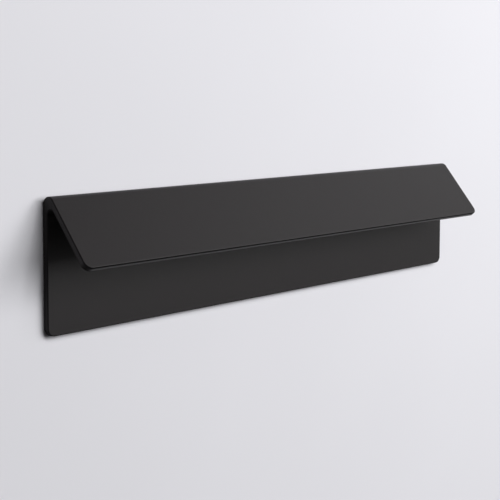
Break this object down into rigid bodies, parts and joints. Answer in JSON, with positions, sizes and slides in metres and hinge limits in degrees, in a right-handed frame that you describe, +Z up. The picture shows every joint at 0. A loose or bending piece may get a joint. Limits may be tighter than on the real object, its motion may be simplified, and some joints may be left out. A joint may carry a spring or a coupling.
{
  "type": "tab pull",
  "caption": "Long matte black cabinet pull: a flat back plate for the door face whose top edge turns over into a straight finger flap sloping out and down.",
  "frame": {"origin": "centre of the flat back face that lies on the door", "axes": "+X along the length, +Y into the door, +Z up; the flap reaches out towards -Y"},
  "size_m": [0.2, 0.0189, 0.04],
  "materials": {
    "black_coat": "fine matte black coating on aluminium"
  },
  "bodies": {
    "root": {"pull": "black_coat"}
  },
  "joints": []
}
